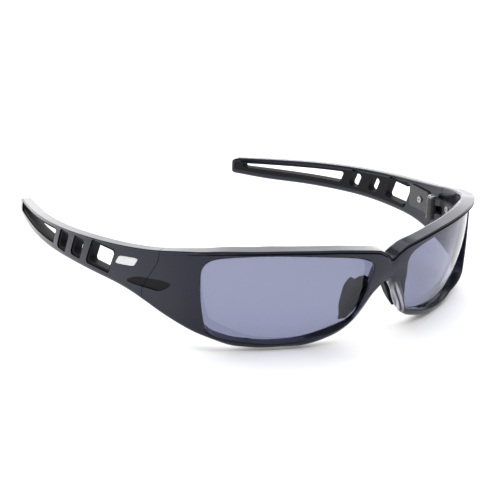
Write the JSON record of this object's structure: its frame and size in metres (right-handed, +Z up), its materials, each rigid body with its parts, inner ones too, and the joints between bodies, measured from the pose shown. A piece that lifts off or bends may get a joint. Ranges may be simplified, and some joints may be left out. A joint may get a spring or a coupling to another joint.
{
  "type": "safety glasses",
  "caption": "Wraparound safety glasses with smoke lenses, a gloss dark frame and slotted folding temples with soft liners.",
  "frame": {"origin": "middle of the bounding box in plan, at the level of the lowest point of the lens rims", "axes": "+Z up as worn; -Y is the way the wearer looks, so the lenses are at -Y and the temple tips at +Y; +X is the wearer's left"},
  "size_m": [0.139, 0.154, 0.0374],
  "materials": {
    "gloss_frame": "gloss smoke-black injection-moulded nylon",
    "lens": "polished smoke-tinted polycarbonate",
    "soft_black": "matt soft-touch elastomer",
    "hinge_metal": "blackened, satin",
    "screw_steel": "satin"
  },
  "bodies": {
    "front": {"front_frame": "gloss_frame", "lens_left": "lens", "lens_right": "lens", "nose_pad_left": "soft_black", "nose_pad_right": "soft_black", "side_inlay_front_left": "soft_black", "side_inlay_front_right": "soft_black", "hinge_leaf_front_left": "hinge_metal", "hinge_leaf_front_right": "hinge_metal", "hinge_screw_left": "screw_steel", "hinge_screw_right": "screw_steel", "leaf_screws_front_left": "screw_steel", "leaf_screws_front_right": "screw_steel"},
    "temple_left": {"temple_shell_left": "gloss_frame", "temple_liner_left": "soft_black", "side_inlay_temple_left": "soft_black", "hinge_leaf_temple_left": "hinge_metal", "leaf_screw_temple_left": "screw_steel"},
    "temple_right": {"temple_shell_right": "gloss_frame", "temple_liner_right": "soft_black", "side_inlay_temple_right": "soft_black", "hinge_leaf_temple_right": "hinge_metal", "leaf_screw_temple_right": "screw_steel"}
  },
  "joints": [
    {"name": "temple_left_hinge", "type": "hinge", "parent": "front", "child": "temple_left", "pos_m": [0.05985, -0.02947, 0.02315], "axis": [0, 0, 1], "range_deg": [0, 94]},
    {"name": "temple_right_hinge", "type": "hinge", "parent": "front", "child": "temple_right", "pos_m": [-0.05985, -0.02947, 0.02315], "axis": [0, 0, -1], "range_deg": [0, 77]}
  ]
}
